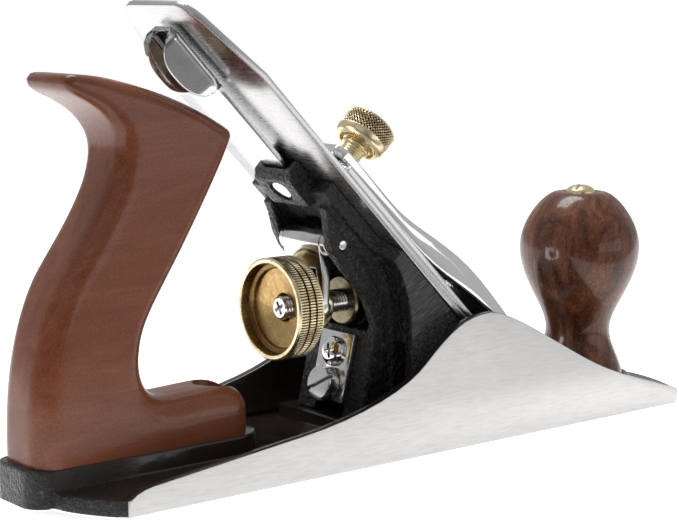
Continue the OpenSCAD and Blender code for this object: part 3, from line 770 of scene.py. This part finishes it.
def handle_hole_cutters():
    """Tools for the holes of the toe screw's head, the barrel nut, the rod and the screw's shank."""
    at_toe = Matrix.Translation((TOE_SCREW_X, 0, 0))
    head_r, seat_z, funnel_r = 5.8, 18.4, 7.4
    head = [(0, seat_z), (head_r, seat_z), (head_r, 24.3), (6.4, 25.0), (funnel_r, 25.5),
            (funnel_r, 40), (0, 40)]
    nut_r, nut_from = 5.7, 93.9
    nut = [(0, nut_from), (nut_r, nut_from), (nut_r, 130), (0, 130)]
    rod_r = 3.1
    rod = [(0, -5), (rod_r, -5), (rod_r, 94.5), (0, 94.5)]
    shank_r = 2.6
    shank = [(0, 0), (shank_r, 0), (shank_r, 19), (0, 19)]
    return [round_cutter(head, at_toe), round_cutter(nut, rod_frame()),
            round_cutter(rod, rod_frame()), round_cutter(shank, at_toe)]


# ---- Front knob ----
def knob_piece():
    """Turned front knob with a recess for its nut."""
    foot, belly, neck = 16, (KNOB_HIGH.x - KNOB_LOW.x) / 2, 11
    bore, nut_bore, recess, crown = 3.1, 4.4, 5.2, 8
    low, high = KNOB_LOW.z, KNOB_HIGH.z
    profile = [(bore, low), (foot - 0.5, low), (foot, low + 0.5)]
    profile += curve(profile[-1], (foot - 0.4, 12), (neck, 17.5), (neck, 23.5), 14)
    profile += curve(profile[-1], (neck, 31), (belly, 40), (belly, 52), 20)
    profile += curve(profile[-1], (belly, 61), (12, high), (crown, high), 20)
    profile += [(5.6, high - 0.05), (5.3, high - 0.25), (recess, high - 1.2),
                (nut_bore, high - 1.25), (nut_bore, high - 9.5), (bore, high - 9.5)]
    place = Matrix.Translation((KNOB_X, 0, 0))
    stand_in("knob", drawn(lathe(profile, 160, closed=True), "knob", SHARP_WOOD, place), knob_wood)


def knob_nut_piece():
    """Domed brass nut with a driver slot."""
    seat = KNOB_HIGH.z - 1.2
    core, barrel, head, top = 3.05, 4.2, 5, 3.7
    dome = [(core, -8), (barrel, -8), (barrel, 0), (4.8, 0), (head, 0.2), (head, 1.4)]
    dome += curve(dome[-1], (4.5, 2.8), (2.4, 3.6), (0, top), 14)
    place = Matrix.Translation((KNOB_X, 0, seat))
    nut = drawn(lathe([(0, -1.5), (core, -1.5)] + dome), "knob_nut", SHARP_TURNED, place)
    slot = slot_cutter(14, 1.2, 1.6, place @ Matrix.Translation((0, 0, top)), 25)
    stand_in("knob_nut", carved(nut, slot), brass)


# ---- Frog ----
def vectors(vertices, attribute):
    """One vector attribute of every vertex, as rows of an array."""
    values = np.zeros(len(vertices) * 3)
    vertices.foreach_get(attribute, values)
    return values.reshape(-1, 3)


def frog_piece():
    """Frog: rough painted casting with machined side faces and bed."""
    lump, most, height = 1.2, 1.2, 0.2  # size of the casting's lumps, their range and their scale
    clean = 0.6  # how near a machined face the casting stays smooth
    lug_s, lug_depth = 98, 5  # the top lug, where the lateral lever swings, stays smooth too
    cast, machined_slot = 0, 1
    mesh = modified(frame["nodes"]["frog"].data, ("WELD", {"merge_threshold": SAME_POINT}),
                    ("REMESH", {"mode": "VOXEL", "voxel_size": 0.58 * MM, "use_smooth_shade": True}),
                    ("SMOOTH", {"factor": 0.5, "iterations": 3}))
    mesh.materials.clear()
    low, high = box_mm("frog")
    co = vectors(mesh.vertices, "co")
    normals = vectors(mesh.vertices, "normal")
    over_bed = (co[:, 2] / MM + co[:, 0] / MM - BED_X) / sqrt(2)
    up_bed = (co[:, 2] / MM - co[:, 0] / MM + BED_X) / sqrt(2)
    flat = np.abs(co[:, 1] / MM) > high.y - clean
    flat |= (over_bed > -0.8) | (co[:, 2] / MM < low.z + clean)
    flat |= (over_bed > -lug_depth) & (up_bed > lug_s)
    rough = np.array([0.0 if f else noise.fractal(Vector(c) / (lump * MM), 0.7, 2, 4)
                      for c, f in zip(co, flat)])
    co += normals * (np.clip(rough, -most, most) * height * MM)[:, None]
    co[:, 1] = np.clip(co[:, 1], low.y * MM, high.y * MM)
    mesh.vertices.foreach_set("co", co.ravel())
    for face in mesh.polygons:
        x, y, z = face.center / MM
        v = (z + (x - BED_X)) / sqrt(2)
        machined_from = 34.7 + (x + 1.3) * 0.5 + 1.2 * noise.noise(Vector((x, y, z)) / 2.5)
        faces_out = abs(y) > high.y - 0.5 and abs(face.normal.y) > 0.8
        on_side = faces_out and z > machined_from
        face.material_index = machined_slot if on_side or v > -0.35 else cast
    stand_in("frog", mesh, casting, machined)


# ---- Frog clip and screws ----
def cut_screw(node, bm, place, cutters):
    """A turned screw with a recess or slot cut into its head."""
    mesh = carved(drawn(bm, node, SHARP_TURNED, place), *cutters)
    mesh.set_sharp_from_angle(angle=radians(SHARP_CARVED))
    return mesh


def clip_piece():
    """Steel clip with rounded edges."""
    stand_in("frog_clip", softened("frog_clip", 0.22), plate)


def clip_screw_piece():
    """Cross-head screw with a high domed head."""
    place = turned_over(clip_frame(CLIP_SCREW_DOWN))
    shank, head, top = 2, 4.7, 2.6
    profile = [(0, -7.5), (shank, -7.5), (shank, 0), (4.5, 0), (head, 0.2), (head, 0.5)]
    profile += curve(profile[-1], (head, 1.7), (3, top), (0, top), 14)
    recess = cross_cutter(5.4, 1.2, 1.6, place @ Matrix.Translation((0, 0, top)), 20)
    stand_in("frog_clip_screw", cut_screw("frog_clip_screw", lathe(profile, 72), place, recess), chrome)


def adjusting_screw_piece():
    """Slotted screw that draws the frog along, with a real thread past the clip."""
    place = clip_frame(ADJUSTING_SCREW_DOWN)
    shank, head, collar, head_end, pitch = 3, 5.4, 4.6, -4.3, 1
    thread_from, thread_to, tip_r, tip = 3.2, 26.6, 2.2, 27.2
    start = rounded([(0, head_end), (head, head_end), (head, -0.1), (shank, -0.1)], 0.5)
    start += [(shank, 1.7), (collar, 1.7), (collar, 3.0), (shank, 3.0)]
    rows, phases = threaded_rows(shank, thread_from, thread_to, pitch)
    bm = lathe(start + rows + [(tip_r, tip), (0, tip)], 48, thread_ripple(len(start), phases))
    slot_place = turned_over(place @ Matrix.Translation((0, 0, head_end)))
    slot = slot_cutter(12, 1.3, 1.6, slot_place, -60)
    stand_in("frog_adjusting_screw", cut_screw("frog_adjusting_screw", bm, place, [slot]), plate)


# ---- Depth adjuster ----
def stud_piece():
    """Threaded stud with a cross recess in its rear end."""
    radius = (STUD_HIGH.z - STUD_LOW.z) / 2
    length = STUD_HIGH.x - STUD_LOW.x
    place = stud_frame(STUD_LOW.x)
    rows, phases = threaded_rows(radius, 0.7, length - 0.5, 1)
    start = [(0, 0), (radius - 0.6, 0), (radius - 0.1, 0.35)]
    bm = lathe(start + rows + [(radius - 0.6, length), (0, length)], 64,
               thread_ripple(len(start), phases, 0.5))
    recess = cross_cutter(4.6, 1.1, 1.5, turned_over(place), 30)
    stand_in("adjusting_stud", cut_screw("adjusting_stud", bm, place, recess), plate)


def wheel_piece():
    """Depth wheel: dished brass with three bands of straight knurling."""
    rim, bore, groove_depth, ramp = WHEEL_R, 3.7, 0.5, 0.12
    teeth, tooth_depth = 112, 0.55
    bands = ((0.9, 3.5), (4.1, 6.1), (6.7, 8.6))
    dish = rounded([(bore, 9.2), (4.3, 9), (4.3, 5.9), (12.2, 4.9), (12.2, 3.4), (13.6, 3.1),
                    (DISH_R, 0), (rim - 0.5, 0)], 0.22)
    rows, knurled = [(rim, 0.45)], set()
    for low, high in bands:
        knurled |= {len(dish) + len(rows) + 1, len(dish) + len(rows) + 2}
        rows += [(rim - groove_depth, low - ramp), (rim, low + ramp), (rim, high - ramp),
                 (rim - groove_depth, high + ramp)]
    rows[1] = (rim, bands[0][0] - ramp)
    rows[-1] = (rim, bands[-1][1] + ramp)
    back = rounded([(rim, 9.0), (rim - 1.3, 9.6), (8.4, 12.2), (bore, 12.2)], 0.3)

    def ripple(row, angle):
        if row not in knurled:
            return 0
        phase = (angle * teeth / (2 * pi)) % 1
        return -tooth_depth * max(0.0, 1 - abs(phase - 0.5) * 4.2)

    bm = lathe(dish + rows + back, teeth * 6, ripple, closed=True)
    mesh = drawn(bm, "depth_wheel", SHARP_TURNED, stud_frame(WHEEL_LOW.x))
    stand_in("depth_wheel", mesh, wheel_brass)


def turned_piece(node, profile, place, material, turns=96, closed=False, radius=0.2):
    """A turned piece with small rounds on its corners."""
    bm = lathe(rounded(profile, radius), turns, closed=closed)
    stand_in(node, drawn(bm, node, SHARP_TURNED, place), material)


def adjuster_pieces():
    """Collar and lock nut on the stud."""
    bore, rim, groove = 3.62, 7, 4.9
    turned_piece("depth_wheel_collar",
                 [(bore, 12.3), (rim, 12.3), (rim, 13.2), (groove, 13.2), (groove, 17.2),
                  (rim, 17.2), (rim, 19.4), (6.4, 20), (bore, 20)],
                 stud_frame(WHEEL_LOW.x), brass, closed=True)
    nut_bore, nut_r, nut_long = 3.6, 7.9, 4.3
    # The lock nut takes the brass that is darkened all over as painted shade
    turned_piece("stud_lock_nut",
                 [(nut_bore, 0), (7.2, 0), (nut_r, 0.7), (nut_r, nut_long), (nut_bore, nut_long)],
                 stud_frame(box_mm("stud_lock_nut")[0].x), shade_darkened_brass, closed=True)


def yoke_pieces():
    """Yoke with rounded edges, and its pin."""
    stand_in("yoke", softened("yoke", 0.3), plate)
    place = Matrix.Translation(JOINT_AT["yoke_rock"]) @ Matrix.Rotation(pi / 2, 4, "X")
    half, pin_r = box_mm("yoke_pin")[1].y, 1.5
    turned_piece("yoke_pin", [(0, -half), (pin_r, -half), (pin_r, half), (0, half)], place, plate,
                 40, radius=0.35)


# ---- Lateral lever ----
def lever_piece():
    """Lateral lever: one strip of plate that widens into a folded thumb tab."""
    disc_s, rivet_s, neck_s, ear_from, round_s, tip_s = 111, 119, 157.5, 163, 180.5, 183
    disc_r, rivet_r, strip_half, flare, tip_round = 5.0, 6.2, 4.5, 2.4, 2.2
    ear_s, ear_reach, ear_drop, ear_power = 171.2, 11.2, 8.2, 2.6
    thick, mid_v, fold, inset = 1.6, -2.1, 1.6, 0.8
    fold_angle, lean_in, lean_down = pi / 2 * 1.06, 0.40, 0.92

    def eye(s, centre, radius):
        """Half width of a round end at a place along the lever, or 0 beside it."""
        return sqrt(max(radius * radius - (s - centre) ** 2, 0))

    def half_width(s):
        """Half width of the strip at a place along the lever."""
        if s < disc_s:
            wide = max(eye(s, disc_s, disc_r), 0.1)
        else:
            wide = max(strip_half, eye(s, disc_s, disc_r), eye(s, rivet_s, rivet_r))
        tip = smooth_step((s - round_s) / (tip_s - round_s)) ** 2
        return wide + flare * smooth_step((s - neck_s) / 6) - tip_round * tip

    def drop(s):
        """How far the tab's folded ears hang down, along a rounded outline."""
        t = abs(s - ear_s) / ear_reach
        return ear_drop * sqrt(max(1 - t ** ear_power, 0))

    def section(s):
        """Points (y, v) across the strip at a place along it, from one ear's edge to the other's."""
        wide = half_width(s) - (inset if s > ear_from else inset * smooth_step((s - neck_s) / 6))
        deep = drop(s)
        flat = wide - fold
        points = []
        for t in np.linspace(-1, 1, 41):
            run = abs(t) * (wide + deep)
            if run <= flat or deep < 0.01:
                y, v = min(run, wide), 0
            else:
                bend = min((run - flat) / fold, fold_angle)
                rest = max(run - flat - fold * bend, 0)
                y = flat + fold * sin(bend) - rest * lean_in
                v = -fold * (1 - cos(bend)) - rest * lean_down
            points.append((y if t > 0 else -y, v))
        return points

    stations = [disc_s - disc_r + 0.01 + i for i in range(50)]
    stations += [155.5 + 0.55 * i for i in range(51)]
    bm = bmesh.new()
    rows = [[bm.verts.new((-s, y, mid_v + v)) for y, v in section(s)] for s in stations]
    for a, b in zip(rows, rows[1:]):
        for i in range(len(a) - 1):
            bm.faces.new((a[i], a[i + 1], b[i + 1], b[i]))
    mesh = modified(drawn(bm, "lateral_lever", SHARP_FOLD, bed_frame()),
                    ("SOLIDIFY", {"thickness": thick * MM, "offset": 0, "use_even_offset": False}),
                    ("BEVEL", {"width": 0.28 * MM, "segments": 2, "limit_method": "ANGLE",
                               "angle_limit": radians(50)}))
    mesh.polygons.foreach_set("use_smooth", [True] * len(mesh.polygons))
    mesh.set_sharp_from_angle(angle=radians(SHARP_TURNED))
    stand_in("lateral_lever", mesh, plate)


# ---- Iron, cap iron and lever cap ----
def blade_pieces():
    """Iron, cap iron and lever cap, each with small rounds on its edges."""
    stand_in("iron", softened("iron", 0.22), blade)
    stand_in("cap_iron", softened("cap_iron", 0.25), blade)
    stand_in("lever_cap", softened("lever_cap", 0.5), chrome)


def thumb_screw_piece():
    """Thumb screw: diamond knurling over a smooth shoulder, ringed underneath, and a thread."""
    head, shank, pitch = THUMB_R, 3.9, 0.9
    knurl_rows, count, depth = 44, 46, 0.6
    start = [(0, 4.25), (3.2, 4.25), (shank, 4.9)]
    thread, phases = threaded_rows(shank, 5.2, 20.8, pitch)
    under = rounded([(shank, 21.0), (4.6, 21.2), (4.6, 22.0), (4.1, 22.1), (4.1, 22.6),
                     (4.9, 22.7), (4.9, 24.4), (6.1, 24.4), (6.1, 22.7), (6.5, 22.6), (6.5, 23.0),
                     (6.9, 22.9)], 0.12, 2)
    shoulder = curve(under[-1], (7.9, 23.0), (head - 0.1, 23.8), (head, 25.4), 8)
    knurl_long = THUMB_KNURL_HIGH - THUMB_KNURL_LOW
    knurl = [(head, THUMB_KNURL_LOW + knurl_long * i / knurl_rows) for i in range(knurl_rows + 1)]
    top = [(head - 0.15, 31.2), (head - 0.7, 31.55), (head - 1.3, 31.6), (4.5, 31.6),
           (4.2, 31.35), (0, 31.3)]
    below_knurl = start + thread + under + shoulder
    thread_groove = thread_ripple(len(start), phases)
    slant = count / (2 * pi * head)

    def ripple(row, angle):
        k = row - len(below_knurl)
        if not 0 < k < knurl_rows:
            return thread_groove(row, angle)
        z, around = knurl[k][1], angle * count / (2 * pi)
        groove = 0
        for lean in (1, -1):
            phase = (around + lean * z * slant) % 1
            groove = max(groove, 1 - abs(phase - 0.5) * 4.0)
        return -depth * groove * min(k, knurl_rows - k, 3) / 3

    bm = lathe(below_knurl + knurl + top, count * 7, ripple)
    mesh = drawn(bm, "thumb_screw", SHARP_TURNED, bed_frame(THUMB_S))
    stand_in("thumb_screw", mesh, thumb_brass)


body_piece()
handle_piece()
knob_piece()
knob_nut_piece()
frog_piece()
clip_piece()
clip_screw_piece()
adjusting_screw_piece()
stud_piece()
wheel_piece()
adjuster_pieces()
yoke_pieces()
lever_piece()
blade_pieces()
thumb_screw_piece()
for steel_node in ("tote_rod", "knob_rod", "tote_toe_screw", "frog_screws", "frog_washers",
                   "lateral_lever_rivet", "lateral_disc", "cap_iron_screw", "lever_cap_screw"):
    dress(steel_node, plate)
dress("tote_nut", brass)


# ---- Camera, floor and light ----
# The photo's view, solved from its outlines and assumed sizes: angles in degrees, place in metres
CAMERA_YAW, CAMERA_PITCH, CAMERA_ROLL = -39.35, -8.38, 0.21
CAMERA_AT = Vector((-0.3565, -0.4238, 0.1374))
LENS, SENSOR = 95.5, 36


def look_matrix(yaw, pitch, roll, at):
    """Camera placement: yaw from +Y towards -X, pitch from level and roll about the line of sight."""
    forward = Vector((-sin(yaw) * cos(pitch), cos(yaw) * cos(pitch), sin(pitch)))
    right = Vector((cos(yaw), sin(yaw), 0))
    up = right.cross(forward)
    tilted_right = right * cos(roll) + up * sin(roll)
    tilted_up = up * cos(roll) - right * sin(roll)
    matrix = Matrix((tilted_right, tilted_up, -forward)).transposed().to_4x4()
    matrix.translation = at
    return matrix


def studio_camera():
    """The camera at the photo's viewing angle."""
    camera = new_object("camera", bpy.data.cameras.new("camera"))
    bpy.context.scene.camera = camera
    camera.data.sensor_width = SENSOR
    camera.data.lens = LENS
    camera.matrix_world = look_matrix(radians(CAMERA_YAW), radians(CAMERA_PITCH),
                                      radians(CAMERA_ROLL), CAMERA_AT)


def studio_floor():
    """Pale floor just under the sole. It stops near the plane, on the camera's side and behind the
    heel, so that the faces there reflect the room and not the floor."""
    left, near, reach, z = -0.4, -0.13, 3.0, -2e-4
    mesh = bpy.data.meshes.new("floor")
    corners = [(left, near, z), (reach, near, z), (reach, reach, z), (left, reach, z)]
    mesh.from_pydata(corners, [], [(0, 1, 2, 3)])
    floor = new_object("floor", mesh)
    finish = Finish("pale_floor", (0.92, 0.92, 0.92), Roughness=0.9, Specular_IOR_Level=0.0,
                    Emission_Color=(1, 1, 1, 1), Emission_Strength=0.64)
    mesh.materials.append(finish.material)


def softbox(name, at, aim, size, power):
    """A rectangular area light that faces a point."""
    light = bpy.data.lights.new(name, "AREA")
    light.shape = "RECTANGLE"
    light.size, light.size_y = size
    light.energy = power
    obj = new_object(name, light)
    obj.location = at
    obj.rotation_euler = (Vector(aim) - Vector(at)).to_track_quat("-Z", "Y").to_euler()


def studio_world():
    """White to the camera. For light and reflections, a room that is dim towards one corner."""
    bright, dim = (1, 1, 1, 1), (0.22, 0.21, 0.21, 1)
    dim_way = Vector((-0.7, -0.5, -0.25)).normalized()
    world = bpy.data.worlds.new("studio")
    bpy.context.scene.world = world
    world.use_nodes = True
    tree = world.node_tree
    room = tree.nodes["Background"]
    where = tree.nodes.new("ShaderNodeTexCoord").outputs["Generated"]
    facing = tree.nodes.new("ShaderNodeVectorMath")
    facing.operation = "DOT_PRODUCT"
    facing.inputs[1].default_value = dim_way
    tree.links.new(where, facing.inputs[0])
    ramp = tree.nodes.new("ShaderNodeValToRGB")
    for stop, position, colour in zip(ramp.color_ramp.elements, (0.05, 0.85), (bright, dim)):
        stop.position = position
        stop.color = colour
    tree.links.new(facing.outputs["Value"], ramp.inputs["Fac"])
    tree.links.new(ramp.outputs["Color"], room.inputs["Color"])
    room.inputs["Strength"].default_value = 0.45
    plain = tree.nodes.new("ShaderNodeBackground")
    plain.inputs["Color"].default_value = bright
    plain.inputs["Strength"].default_value = 1.0
    choose = tree.nodes.new("ShaderNodeMixShader")
    by_camera = tree.nodes.new("ShaderNodeLightPath").outputs["Is Camera Ray"]
    tree.links.new(by_camera, choose.inputs[0])
    tree.links.new(room.outputs[0], choose.inputs[1])
    tree.links.new(plain.outputs[0], choose.inputs[2])
    tree.links.new(choose.outputs[0], tree.nodes["World Output"].inputs["Surface"])


studio_camera()
studio_floor()
softbox("over", (0.05, 0.25, 0.8), (0, 0, 0.03), (0.5, 0.3), 4)
softbox("left", (-0.8, -0.5, 0.6), (0, 0, 0.04), (0.8, 0.8), 0.55)
softbox("front", (0.35, -0.95, 0.15), (0, 0, 0.02), (0.9, 0.35), 0.95)
studio_world()
bpy.context.scene.view_settings.view_transform = "Standard"
